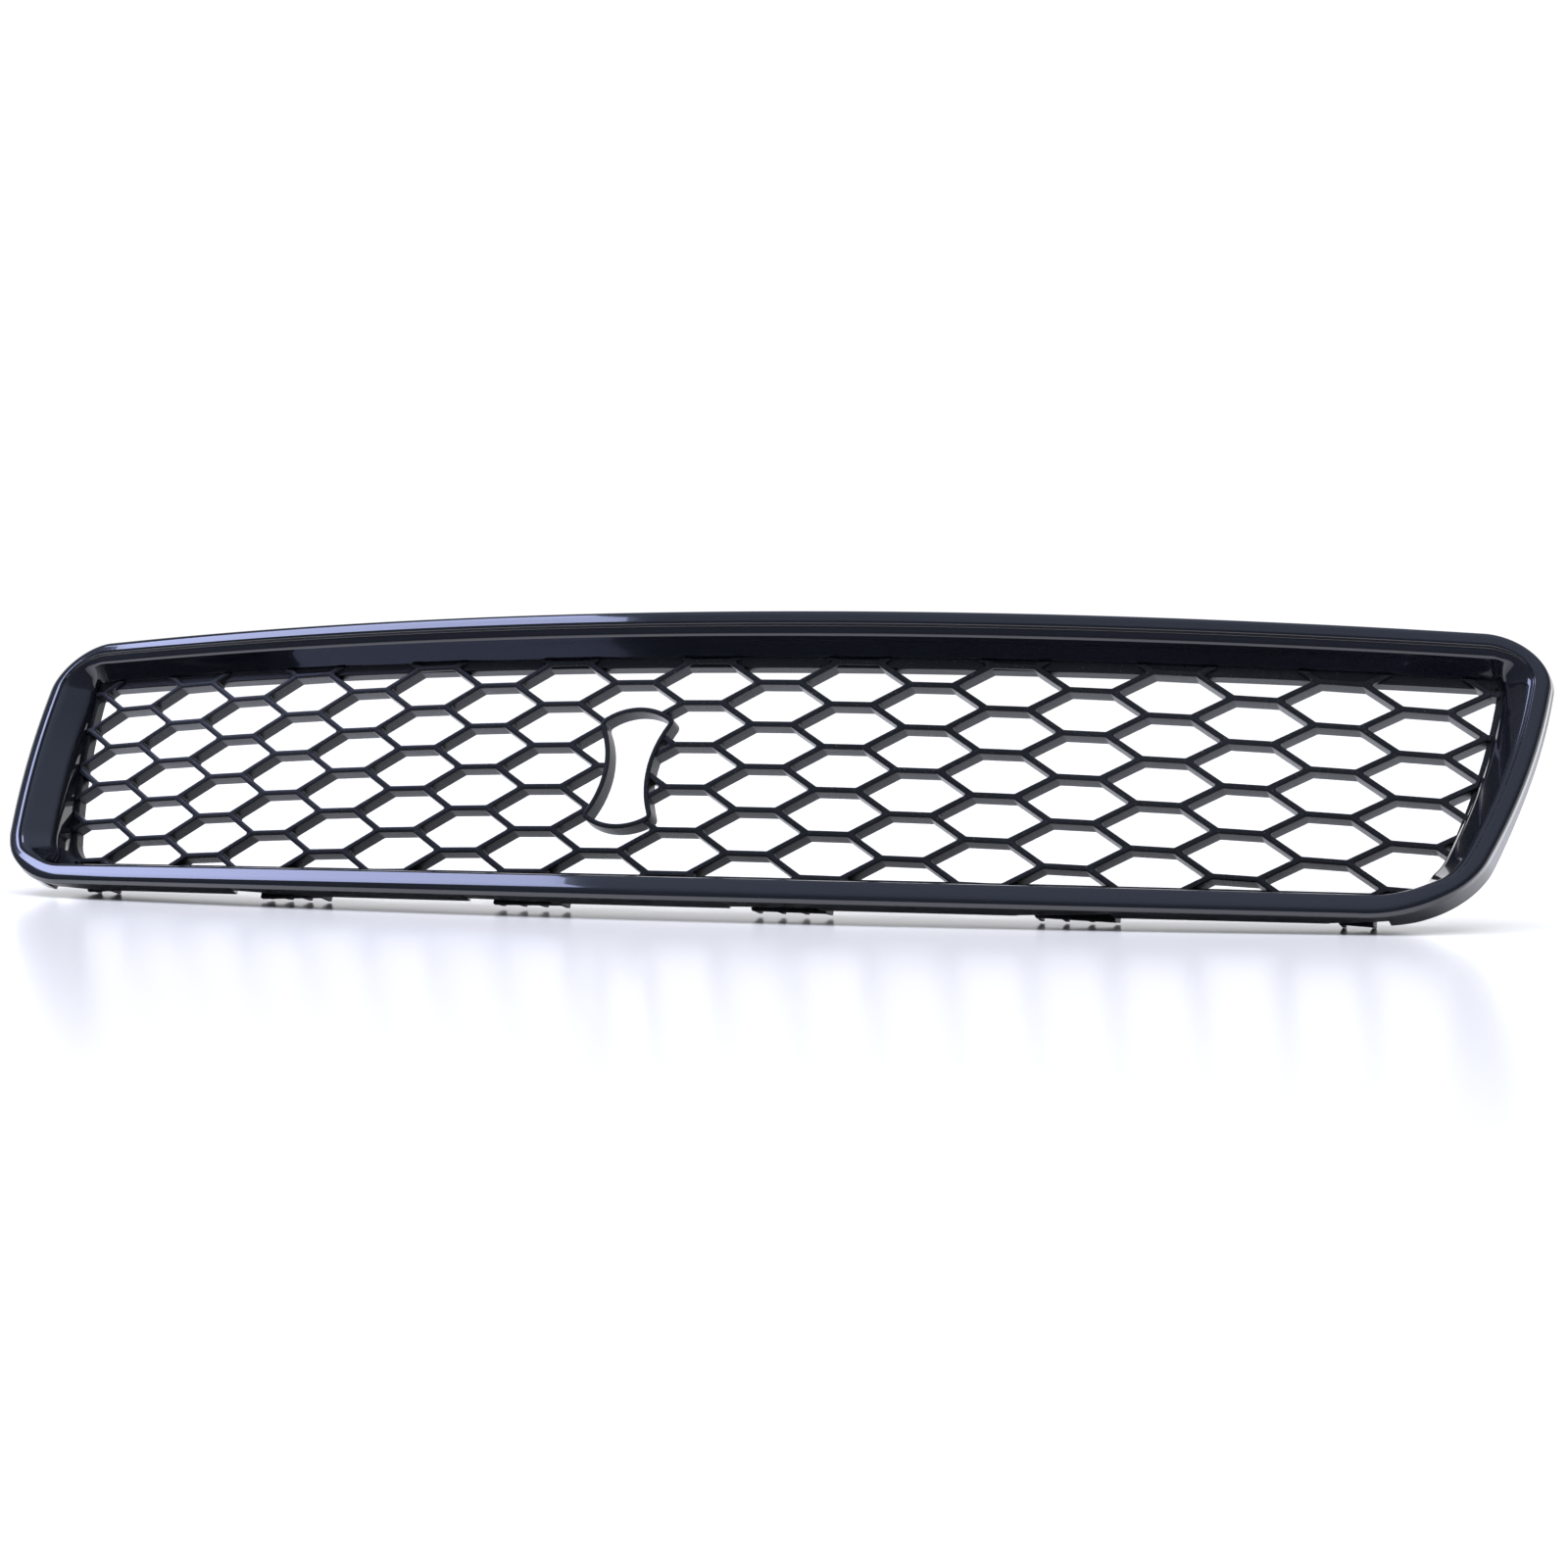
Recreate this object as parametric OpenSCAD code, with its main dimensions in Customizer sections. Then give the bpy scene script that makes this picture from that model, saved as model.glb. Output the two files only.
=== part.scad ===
// Front grille of a car: a gloss surround that frames a honeycomb insert with a badge collar.
// Snap lugs hold its lower edge, ears with steel bushes its upper edge, and pins locate its ends.
//
// Shapes are drawn in the grille's own directions: x across, y rearward, z up, with the zero
// point in the middle of the insert. seat() then leans the grille back and sets it on its lugs.

/* [Honeycomb] */
// Distance between two columns of cells
cell_w = 38; // [37:0.5:39]
// Distance between two rows of cells in one column
cell_h = 23.1; // [22.5:0.1:23.5]
// Half length of the level bar at the top and bottom of a cell
bar_half = 10.2; // [9:0.1:11]
// Width of a rib, seen from the front
rib_w = 3; // [2.4:0.1:3.4]
// Depth of a rib, front to back
rib_d = 8.4; // [7:0.1:9]

/* [Surround] */
// Half width of the surround, measured at mid height
half_w = 389.2; // [385:0.1:392]
// Height of the top edge above the middle of the insert
top_h = 80.5; // [79:0.5:82]
// Depth of the bottom edge below the middle of the insert
bottom_h = 86; // [84:0.5:87]
// Radius of the upper corners
top_r = 26; // [24:0.5:30]
// Radius of the lower corners
bottom_r = 45; // [42:1:58]
// How far the ends lean outward, in degrees
end_lean = 13.1; // [12:0.1:14]
// Radius of the surround and the insert in plan, at mid height
plan_r = 1890; // [1800:10:2000]
// How fast that radius shrinks upward, per millimetre of height
plan_taper = 1.68; // [1.6:0.01:1.8]
// How far the rim stands in front of the insert at mid height
rim_rise = 26.6; // [24:0.1:28]
// Lean of the rim face against the insert, in degrees
rim_lean = 9; // [8:0.1:10]
// Backward lean of the insert, in degrees
mesh_lean = 4.35; // [4:0.05:5]
// Wall thickness of the surround
wall = 2.6; // [2.2:0.1:3]

/* [Badge collar] */
// Distance of the collar from the middle of the grille
badge_x = -31.8; // [-34:0.1:-30]
// Width of the collar across its corners
badge_w = 39; // [37:0.5:41]
// Height of the collar between its top and bottom crowns
badge_h = 66.6; // [65:0.1:69]
// Thickness of the collar wall
collar_t = 2.6; // [2:0.1:3]

/* [Lower lugs] */
// Distance of the inner snap lugs from the middle
lug_inner_x = 66.2; // [64:0.1:68]
// Distance of the outer snap lugs from the middle
lug_outer_x = 199.2; // [196:0.1:202]
// Distance of the end hooks from the middle
hook_x = 321.5; // [320:0.1:323]
// Distance between two barbs of a snap lug
barb_pitch = 11.4; // [11:0.1:11.8]
// Distance between the two prongs of an end hook
prong_pitch = 12.8; // [12:0.1:13.4]
// Length of a barb, front to back
barb_d = 10.7; // [9:0.1:12]

/* [Upper ears] */
// Distance of the inner ears from the middle
ear_inner_x = 95; // [90:1:100]
// Distance of the outer ears from the middle
ear_outer_x = 265; // [260:1:270]
// Width of an ear
ear_w = 32; // [28:1:36]
// Bore of the steel bush in an ear
bush_bore = 6.6; // [6:0.1:7]

/* [Locating pins] */
// Diameter of the locating pins at the ends
pin_d = 6; // [5:0.1:6.4]
// Length of a locating pin behind the rim
pin_len = 18; // [14:1:20]

/* [Stance] */
// How far the whole grille leans back when it stands on its lugs, in degrees
lean = 25.2; // [24:0.1:26]
// Height of the middle of the insert above the surface that the lugs stand on
stand_h = 67.4; // [66:0.1:70]

/* [Hidden] */

// Distance from the middle of the insert back to the middle of the grille's depth
stand_y = 4.16;
// A touching pair is drawn this far apart
gap = 0.1;
// How much further than its neighbour a cutting shape reaches
past = 60;

// The top and bottom edges rise towards the ends by these factors of x squared
top_bow = 0.0000285;
bottom_bow = 0.000106;
// The ends curve inward by this factor of z squared
end_bow = 0.0000037;
// Radius of the rim face, seen from the end
rim_crown_r = 1200;

end_slope = tan(end_lean);
top_corner_x = half_w + end_slope * (top_h - top_r) - top_r / cos(end_lean);
bottom_corner_x = half_w + end_slope * (bottom_r - bottom_h) - bottom_r / cos(end_lean);

// The insert's flange reaches from its outer edge to the clear opening. All its edges are given
// as insets from the rim, in the form [inset at mid height, rise of the opening, extra reach at
// the ends, extra reach at the top].
flange_out = [14.5, 0, 0, 0];
flange_in = [26.8, 1.3, 2.4, 0];
flange_t = 3;
// The flange lies this far behind the front of the ribs
flange_back = 1.8;
flange_front_y = flange_back - rib_d / 2;
// Width of the flange's inner edge, which is as deep as the ribs
edge_w = 2.4;

// Where the surround's wall meets the flange, where the ribs end, and where the foot ends
wall_in = [22.3, 0, 0, 1.8];
rib_end = [22.9, 0, 0, 1.8];
foot_out = 15.5;
foot_t = 2.4;

function lerp(a, b, t) = a + (b - a) * t;
function steps(a, b, n) = [for (i = [0 : n - 1]) lerp(a, b, i / n)];

// The insert is part of a cone. Its point lies high above and its axis leans back from there.
cone_half = atan(plan_taper);
apex_z = plan_r / plan_taper;
apex_y = apex_z * tan(mesh_lean);
axis_tilt = cone_half - mesh_lean;
cone_factor = pow(sin(axis_tilt), 2) - pow(cos(cone_half), 2);

// Middle surface of the insert, and front face of the rim
function mesh_y(x, z) =
    let (h = z - apex_z)
    let (spread = sqrt(pow(h * sin(cone_half), 2) + cone_factor * x * x))
    apex_y + (h * sin(axis_tilt) * cos(axis_tilt) + cos(cone_half) * spread) / cone_factor;
function rim_y(x, z) =
    mesh_y(x, z) + tan(rim_lean) * z - z * z / (2 * rim_crown_r) - rim_rise;

// The outer return wall is deep below and shallow above, and flares a little at the ends.
// These give its depth and the inset of its back edge for a station of the outline.
function low_share(z) = pow(min(z, 0) / bottom_h, 2);
function return_d(z, a) =
    8 - 0.07 * z + 0.0004 * z * z + (2 + 3 * low_share(z)) * abs(cos(a));
function return_inset(z, a) =
    0.3 + 2.1 * low_share(z) * (1 - abs(cos(a))) - (1 + 1.5 * low_share(z)) * abs(cos(a));

// Right half of the outline, from the top middle round to the bottom middle.
// Each station is [x, z, direction of the outward normal].
function right_half(n_top, n_arc, n_side, n_bottom) = concat(
    [for (x = steps(0, top_corner_x, n_top)) [x, top_h, 90]],
    [for (a = steps(90, -end_lean, n_arc)) corner(top_corner_x, top_h - top_r, top_r, a)],
    [for (t = steps(0, 1, n_side)) lerp(
        corner(top_corner_x, top_h - top_r, top_r, -end_lean),
        corner(bottom_corner_x, bottom_r - bottom_h, bottom_r, -end_lean), t)],
    [for (a = steps(-end_lean, -90, n_arc))
        corner(bottom_corner_x, bottom_r - bottom_h, bottom_r, a)],
    [for (x = steps(bottom_corner_x, 0, n_bottom)) [x, -bottom_h, -90]],
    [[0, -bottom_h, -90]]);
function corner(x, z, r, a) = [x + r * cos(a), z + r * sin(a), a];
function mirrored(s) = [-s[0], s[1], 180 - s[2]];
function ring(half) = concat(half, [for (i = [len(half) - 2 : -1 : 1]) mirrored(half[i])]);

// Bows the edges of the plain outline
function bow(x, z) =
    let (share = (z + bottom_h) / (top_h + bottom_h))
    let (rise = x * x * lerp(bottom_bow, top_bow, share))
    [(x + end_slope * rise * x / half_w) * (1 - end_bow * pow(z + rise, 2)), z + rise];
function inset_point(s, inset) = bow(s[0] - inset * cos(s[2]), s[1] - inset * sin(s[2]));
function inset_at(edge, a) =
    edge[0] - edge[1] * sin(a) - edge[2] * abs(cos(a)) - edge[3] * max(sin(a), 0);
function outline(edge, stations) = [for (s = stations) inset_point(s, inset_at(edge, s[2]))];
function closer(edge, by) = [edge[0] - by, edge[1], edge[2], edge[3]];

// Height of the bottom edge at x, and of the top edge
function bottom_edge(x) = bow(x, -bottom_h)[1]
    + (abs(x) > bottom_corner_x ? bottom_r - sqrt(pow(bottom_r, 2)
    - pow(abs(x) - bottom_corner_x, 2)) : 0);
function top_edge(x) = bow(x, top_h)[1];

module seat() {
    translate([0, stand_y, stand_h]) rotate([-lean, 0, 0]) children();
}

// Extrudes a drawing of the front view rearward
module rearward(y0, depth) {
    translate([0, y0 + depth, 0]) rotate([90, 0, 0]) linear_extrude(height = depth) children();
}

// Shell that follows the insert's conical surface between two depths from its middle
module shell(front, back) {
    near = 985;
    far = 1340;
    half_angle = 29;
    function cone_point(s, d) = [s * sin(cone_half) - d * cos(cone_half),
                                 s * cos(cone_half) + d * sin(cone_half)];
    translate([0, apex_y, apex_z]) rotate([180 + axis_tilt, 0, 0])
        rotate_extrude(angle = 2 * half_angle, start = 90 - half_angle, $fn = 720)
            polygon([cone_point(near, front), cone_point(far, front),
                     cone_point(far, back), cone_point(near, back)]);
}

// ---- Surround ----

// Section of the surround at a station: [inset from the outer edge, share of the way from the
// rim surface to the insert surface, depth behind that surface]. Along the bottom the small
// step inside the rim melts into one wide face. At the ends the step is narrow, and the wall
// flares widely before it turns down to the insert.
function smooth(t) = let (c = min(max(t, 0), 1)) c * c * (3 - 2 * c);
function section(s) =
    let (z = inset_point(s, 0)[1])
    let (back = return_inset(z, s[2]))
    let (low = smooth((-sin(s[2]) - 0.55) / 0.4))
    let (end = smooth((abs(cos(s[2])) - 0.35) / 0.45) * (1 - low))
    let (foot = [inset_at(wall_in, s[2]), 1, flange_front_y - gap])
    let (turn_d = min(14.5, 19 - 0.1 * z))
    [
        [back, 0, return_d(z, s[2])],
        [0, 0, lerp(4.0, 3.0, low)],
        [lerp(1.2, 3.0, low), 0, lerp(1.2, 0.9, low)],
        [lerp(4.4, 7.5, low), 0, 0],
        [lerp(6.4, 9.6, low) - 0.6 * end, 0, 0],
        [lerp(7.8, 11.2, low) - 0.8 * end, 0, lerp(0.9, 0.5, low) - 0.3 * end],
        [lerp(8.3, 11.8, low) - 0.7 * end, 0, lerp(2.0, 1.1, low) - 0.6 * end],
        [lerp(11.7, 12.3, low) - 2.1 * end, 0, lerp(2.8, 2.3, low) - 0.7 * end],
        [13.0 - 1.6 * end, 0, 4.6 - end],
        lerp(lerp([13.0, 0, 4.6], foot, 0.5), [21.2, 0, turn_d], end),
        foot,
        [foot_out, 1, flange_front_y - gap],
        [foot_out, 1, flange_front_y - foot_t],
        [foot_out + wall, 1, flange_front_y - foot_t],
        lerp(lerp([foot_out + wall, 1, flange_front_y - foot_t], [10.4, 0, 7.0], 0.5),
            [foot_out + 2.1, 0, turn_d], end),
        [10.4, 0, 7.0],
        [9.4, 0, 3.9],
        [2.8, 0, 3.4],
        [back + wall, 0, return_d(z, s[2])]];

function section_point(s, p) =
    let (q = inset_point(s, p[0]))
    [q[0], lerp(rim_y(q[0], q[1]), mesh_y(q[0], q[1]), p[1]) + p[2], q[1]];

module surround_sweep() {
    stations = ring(right_half(10, 8, 3, 8));
    rows = [for (s = stations) [for (p = section(s)) section_point(s, p)]];
    count = len(rows);
    width = len(rows[0]);
    corners = [for (row = rows) for (p = row) p];
    faces = [for (i = [0 : count - 1]) for (j = [0 : width - 1])
        let (a = i * width + j)
        let (b = i * width + (j + 1) % width)
        let (c = ((i + 1) % count) * width + (j + 1) % width)
        let (d = ((i + 1) % count) * width + j)
        for (face = [[a, c, b], [a, d, c]]) face];
    polyhedron(points = corners, faces = faces, convexity = 10);
}

// Cut-out in the lower return wall below one lug
module skirt_cutout(x, width) {
    edge_z = bottom_edge(x);
    cut_d = 2.8;
    cut_h = 9;
    back_y = rim_y(x, edge_z) + return_d(edge_z, -90);
    translate([x - width / 2, back_y - cut_d, edge_z - 2])
        cube([width, cut_d + past / 4, cut_h]);
}

module bezel() {
    lug_cut_w = 43;
    hook_cut_w = 26;
    hook_cut_shift = 4;
    color("#15171f") seat() difference() {
        surround_sweep();
        for (side = [-1, 1]) {
            skirt_cutout(side * lug_inner_x, lug_cut_w);
            skirt_cutout(side * lug_outer_x, lug_cut_w);
            skirt_cutout(side * (hook_x + hook_cut_shift), hook_cut_w);
        }
    }
}

// ---- Honeycomb insert ----

// Clear opening of one cell: a long hexagon with level top and bottom
module cell_opening(rib) {
    tip = cell_w - bar_half;
    slant = atan((cell_h / 2) / (tip - bar_half));
    edge_z = cell_h / 2 - rib / 2;
    edge_x = bar_half - rib / 2 * tan(slant / 2);
    tip_x = tip - rib / 2 / sin(slant);
    polygon([[edge_x, edge_z], [tip_x, 0], [edge_x, -edge_z],
             [-edge_x, -edge_z], [-tip_x, 0], [-edge_x, edge_z]]);
}

module honeycomb(rib) {
    last_column = 10;
    rows = 7;
    for (column = [-last_column : last_column]) for (row = [-rows : rows])
        if ((column + row) % 2 == 0)
            translate([column * cell_w, row * cell_h / 2]) cell_opening(rib);
}

module opening_outline(edge) {
    polygon(outline(edge, ring(right_half(8, 6, 2, 6))));
}

module flange_ring(outer, inner) {
    difference() {
        opening_outline(outer);
        opening_outline(inner);
    }
}

// Front view of the insert: cells inside the flange, and a place for the badge collar
module insert_face() {
    difference() {
        opening_outline(flange_out);
        intersection() {
            honeycomb(rib_w);
            opening_outline(flange_in);
        }
        collar_outline(-gap / 2);
    }
}

// Front of the flange: the ribs run on over its inner part at their full height
module front_relief() {
    fit = 0.1;
    flange_ring(closer(flange_out, 1), rib_end);
    intersection() {
        honeycomb(rib_w + fit);
        flange_ring(closer(rib_end, 1), closer(flange_in, -fit));
    }
}

// The flange is thinner than the ribs: it is cut back in front and behind
module mesh_insert() {
    rib_half = rib_d / 2;
    color("#1c1d22") seat() difference() {
        intersection() {
            rearward(-past, 3 * past) insert_face();
            shell(-rib_half, rib_half);
        }
        intersection() {
            rearward(-past, 3 * past) front_relief();
            shell(-rib_d, flange_front_y);
        }
        intersection() {
            rearward(-past, 3 * past) flange_ring(closer(flange_out, 1), closer(flange_in, edge_w));
            shell(flange_front_y + flange_t, rib_d);
        }
        for (p = stake_points()) stake_rod(p, stake_r + gap, -rib_d, rib_d);
    }
}

// ---- Badge collar ----

// Hourglass with crowned top and bottom and hollow sides, drawn smaller by inset
module collar_outline(inset) {
    crown_r = 30.3;
    left_r = 47;
    right_r = 53;
    waist = 12.6;
    drop = 2;
    translate([badge_x, -1.5]) difference() {
        intersection() {
            square([badge_w - 2 * inset, badge_h], center = true);
            union() {
                for (side = [-1, 1]) translate([0, side * (badge_h / 2 - crown_r)])
                    circle(r = crown_r - inset, $fn = 96);
                square([badge_w, badge_h - 2 * crown_r], center = true);
            }
        }
        translate([-waist - left_r, -drop]) circle(r = left_r + inset, $fn = 180);
        translate([waist + right_r, -drop]) circle(r = right_r + inset, $fn = 180);
    }
}

module badge_collar() {
    proud = 0.8;
    color("#1c1d22") seat() intersection() {
        rearward(-past, 3 * past) difference() {
            collar_outline(0);
            collar_outline(collar_t);
        }
        shell(-rib_d / 2 - proud, rib_d / 2);
    }
}

// ---- Heat stakes that hold the insert ----

stake_r = 1.6;
stake_inset = 19;
end_stake_inset = 18.2;
function stake_points() = concat(
    [for (x = [-320, -210, -105, 0, 105, 210, 320]) bow(x, top_h - stake_inset)],
    [for (x = [-262, -132, 0, 132, 262]) bow(x, stake_inset - bottom_h)],
    [for (side = [-1, 1]) bow(side * (half_w - end_stake_inset / cos(end_lean)), 0)]);

module stake_rod(p, r, y0, y1) {
    translate([p[0], mesh_y(p[0], p[1]) + y1, p[1]]) rotate([90, 0, 0])
        cylinder(h = y1 - y0, r = r, $fn = 24);
}

module heat_stakes() {
    head_r = 3.2;
    head_h = 1.5;
    ball_r = (head_r * head_r + head_h * head_h) / (2 * head_h);
    head_y = flange_front_y + flange_t + gap;
    color("#23242a") seat() for (p = stake_points()) {
        stake_rod(p, stake_r, flange_front_y, head_y);
        translate([p[0], mesh_y(p[0], p[1]) + head_y, p[1]]) intersection() {
            translate([0, head_h - ball_r, 0]) sphere(r = ball_r, $fn = 48);
            translate([-head_r, 0, -head_r]) cube(2 * head_r);
        }
    }
}

// ---- Lower snap lugs and end hooks ----

// Underside of the surround's lower wall at x, at a depth measured from the insert's surface
function wall_under(x, depth) =
    let (low = bottom_edge(x) + 10.4)
    let (high = bottom_edge(x) + foot_out + wall)
    let (low_d = rim_y(x, low) + 7 - mesh_y(x, low))
    lerp(low, high, (depth - low_d) / (flange_front_y - foot_t - low_d)) - gap;

// The grille stands on its end hooks, and the snap lugs hang this far above the floor
outer_lift = 0.6;
inner_lift = 1.3;

// Height at which a corner at depth y touches the floor once the grille leans back
function floor_z(y) = (y * sin(lean) - stand_h) / cos(lean);

// Plan radius of the insert at its lower edge
low_plan_r = plan_r + plan_taper * bottom_h;

// Web that hangs below the wall, and thin barbs behind it. lift is the height of the barbs' back
// corners above the floor.
module lug(x, count, pitch, lift) {
    web_t = 2.4;
    barb_t = 2;
    barb_rise = 2.4;
    front = -9;
    width = (count - 1) * pitch + barb_t;
    web_y = mesh_y(x, -bottom_h) + front;
    web_z = floor_z(web_y + barb_d) + lift - barb_rise;
    wall_z = wall_under(x, front + web_t);
    plan_angle = atan(x / low_plan_r);
    flange_z = bottom_edge(x) + flange_out[0] - 0.5;
    flange_y = mesh_y(x, flange_z) + flange_front_y - 0.4;
    translate([x, web_y, 0]) rotate([0, 0, plan_angle]) translate([-width / 2, 0, 0])
        profile(width, [[0, web_z], [web_t, web_z], [web_t, wall_z], [0, wall_under(x, front)]]);
    for (i = [0 : count - 1]) {
        barb_x = (i - (count - 1) / 2) * pitch;
        front_y = web_y + barb_x * tan(plan_angle) + web_t / 2;
        back_y = front_y + barb_d - web_t / 2;
        translate([x + barb_x - barb_t / 2, 0, 0])
            profile(barb_t, [[front_y, web_z], [back_y, floor_z(back_y) + lift], [back_y, flange_z],
                             [flange_y, flange_z], [flange_y, wall_z - 1], [front_y, wall_z - 1]]);
    }
}

// Extrudes a side view, given as [y, z] points, across the grille
module profile(width, points) {
    rotate([90, 0, 90]) linear_extrude(height = width) polygon(points);
}

module snap_lug(x, lift) {
    color("#202127") seat() lug(x, 4, barb_pitch, lift);
}

module end_hook(x) {
    color("#202127") seat() lug(x, 2, prong_pitch, 0);
}

// ---- Upper ears with their bushes ----

ear_t = 2.6;
ear_start = 4.2;
ear_len = 28;
bush_back = 19;
bush_wall = 1.2;

module at_ear(x) {
    ear_z = top_edge(x) - 2.9 - gap - ear_t;
    translate([x, rim_y(x, top_edge(x)), ear_z]) rotate([0, -atan(2 * top_bow * x), 0])
        children();
}

module ear(x) {
    round_r = 7;
    gusset_t = 1.8;
    gusset_h = 4.5;
    gusset_y = 11;
    color("#202127") seat() at_ear(x) {
        difference() {
            linear_extrude(height = ear_t) union() {
                translate([-ear_w / 2, ear_start]) square([ear_w, ear_len - ear_start - round_r]);
                translate([round_r - ear_w / 2, ear_start])
                    square([ear_w - 2 * round_r, ear_len - ear_start]);
                for (side = [-1, 1])
                    translate([side * (ear_w / 2 - round_r), ear_len - round_r])
                        circle(r = round_r, $fn = 48);
            }
            translate([0, bush_back, -ear_t])
                cylinder(h = 3 * ear_t, r = bush_bore / 2 + bush_wall + gap / 2, $fn = 48);
        }
        for (side = [-1, 1])
            translate([side * (ear_w / 2 - gusset_t) - gusset_t / 2, 0, 0])
                profile(gusset_t, [[gusset_y, 0], [ear_len - round_r, 0], [gusset_y, -gusset_h]]);
    }
}

module ear_bushes() {
    lip = 0.3;
    height = ear_t + 2 * lip;
    color("silver") seat() for (side = [-1, 1]) for (x = [ear_inner_x, ear_outer_x])
        at_ear(side * x) translate([0, bush_back, -lip]) difference() {
            cylinder(h = height, r = bush_bore / 2 + bush_wall, $fn = 48);
            translate([0, 0, -lip]) cylinder(h = height + 2 * lip, r = bush_bore / 2, $fn = 48);
        }
}

// ---- Foam strip behind the top edge ----

// Strips lie between the ears and follow the plan curve
module top_seal() {
    clear = 3;
    seal_h = 6;
    seal_d = 9;
    half_ear = ear_w / 2 + clear;
    spans = [[ear_outer_x + half_ear, 345], [ear_inner_x + half_ear, ear_outer_x - half_ear],
             [half_ear - ear_inner_x, ear_inner_x - half_ear],
             [half_ear - ear_outer_x, -ear_inner_x - half_ear], [-345, -ear_outer_x - half_ear]];
    color("#2b2b2d") seat() for (span = spans) {
        edge_z = top_edge((span[0] + span[1]) / 2) - 2.9 - 3 * gap;
        strip_r = plan_r - plan_taper * edge_z;
        from_angle = asin(span[0] / strip_r);
        to_angle = asin(span[1] / strip_r);
        translate([0, rim_y(0, edge_z) + 4.4 + strip_r, edge_z - seal_h])
            rotate_extrude(angle = to_angle - from_angle, start = 270 + from_angle, $fn = 720)
                translate([strip_r - seal_d, 0]) square([seal_d, seal_h]);
    }
}

// ---- Locating pins at the ends ----

module guide_pin(side) {
    pin_inset = 6;
    root_h = 5;
    neck_h = 5.2;
    root_r = 2.3;
    nose = 2.5;
    place = inset_point([side * half_w, 0, side > 0 ? -end_lean : 180 + end_lean], pin_inset);
    back = rim_y(place[0], place[1]) + 3.9;
    color("#202127") seat() translate([place[0], back, place[1]]) difference() {
        rotate([-90, 0, 0]) union() {
            translate([0, 0, -root_h])
                cylinder(h = root_h + neck_h, r1 = root_r, r2 = pin_d / 2, $fn = 48);
            translate([0, 0, neck_h])
                cylinder(h = pin_len - nose - neck_h, r = pin_d / 2, $fn = 48);
            translate([0, 0, pin_len - nose])
                cylinder(h = nose, r1 = pin_d / 2, r2 = pin_d / 4, $fn = 48);
        }
        rotate([-rim_lean - mesh_lean, 0, 0]) translate([-past / 2, -past, -past / 2]) cube(past);
    }
}

bezel();
mesh_insert();
badge_collar();
snap_lug(-lug_outer_x, outer_lift);  // snap_lug_outer_left
snap_lug(-lug_inner_x, inner_lift);  // snap_lug_inner_left
snap_lug(lug_inner_x, inner_lift);  // snap_lug_inner_right
snap_lug(lug_outer_x, outer_lift);  // snap_lug_outer_right
end_hook(-hook_x);  // end_hook_left
end_hook(hook_x);  // end_hook_right
ear(-ear_outer_x);  // ear_outer_left
ear(-ear_inner_x);  // ear_inner_left
ear(ear_inner_x);  // ear_inner_right
ear(ear_outer_x);  // ear_outer_right
ear_bushes();
heat_stakes();
top_seal();
guide_pin(-1);  // guide_pin_left
guide_pin(1);  // guide_pin_right
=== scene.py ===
import bpy
import bmesh
import math
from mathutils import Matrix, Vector


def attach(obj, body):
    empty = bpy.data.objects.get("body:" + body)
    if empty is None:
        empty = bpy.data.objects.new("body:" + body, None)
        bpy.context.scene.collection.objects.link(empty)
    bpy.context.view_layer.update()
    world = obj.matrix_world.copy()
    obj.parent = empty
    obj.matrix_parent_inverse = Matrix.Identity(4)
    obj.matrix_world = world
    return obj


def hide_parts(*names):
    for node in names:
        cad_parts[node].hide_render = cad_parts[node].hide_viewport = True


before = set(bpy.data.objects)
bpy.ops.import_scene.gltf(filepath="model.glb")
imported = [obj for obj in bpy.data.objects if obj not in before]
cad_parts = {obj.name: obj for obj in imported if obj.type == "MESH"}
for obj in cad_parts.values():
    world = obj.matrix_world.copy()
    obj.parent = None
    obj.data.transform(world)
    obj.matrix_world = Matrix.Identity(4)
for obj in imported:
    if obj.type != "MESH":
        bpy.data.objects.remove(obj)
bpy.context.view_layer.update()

# ---- The grille's own measures, in millimetres: x across, y rearward, z up ----

CELL_W, CELL_H, BAR_HALF, RIB_W, RIB_D = 38.0, 23.1, 10.2, 3.0, 8.4
HALF_W, TOP_H, BOTTOM_H, TOP_R, BOTTOM_R = 389.2, 80.5, 86.0, 26.0, 45.0
PLAN_R, PLAN_TAPER, RIM_RISE, RIM_CROWN_R = 1890.0, 1.68, 26.6, 1200.0
END_LEAN, RIM_LEAN, MESH_LEAN = math.radians(13.1), math.radians(9), math.radians(4.35)
END_SLOPE = math.tan(END_LEAN)
TOP_BOW, BOTTOM_BOW, END_BOW = 0.0000285, 0.000106, 0.0000037
LEAN = math.radians(25.2)
STAND_Y, STAND_Z = 4.16, 67.4
WALL = 2.6
FLANGE_OUT, FLANGE_FRONT, FLANGE_T, EDGE_W = 14.5, -2.4, 3.0, 2.4
TOP_X = HALF_W + END_SLOPE * (TOP_H - TOP_R) - TOP_R / math.cos(END_LEAN)
BOTTOM_X = HALF_W + END_SLOPE * (BOTTOM_R - BOTTOM_H) - BOTTOM_R / math.cos(END_LEAN)
# Distance of the lugs and of the hooks from the middle
LUGS = (66.2, 199.2)
HOOK = 321.5
# Cut-outs in the skirt: distance from the middle, width; and how far they stop short of its edge
CUTOUTS = ((66.2, 43.0), (199.2, 43.0), (325.5, 26.0))
CUT_D = 2.8
# A station stands this far before and after each edge of a cut-out, so that its step is steep
CUT_STEP = 0.15
# Inset of the insert's clear opening, with what the top takes off and what the ends take off
CLEAR_IN, CLEAR_IN_TOP, CLEAR_IN_END = 26.8, 1.3, 2.4
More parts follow.
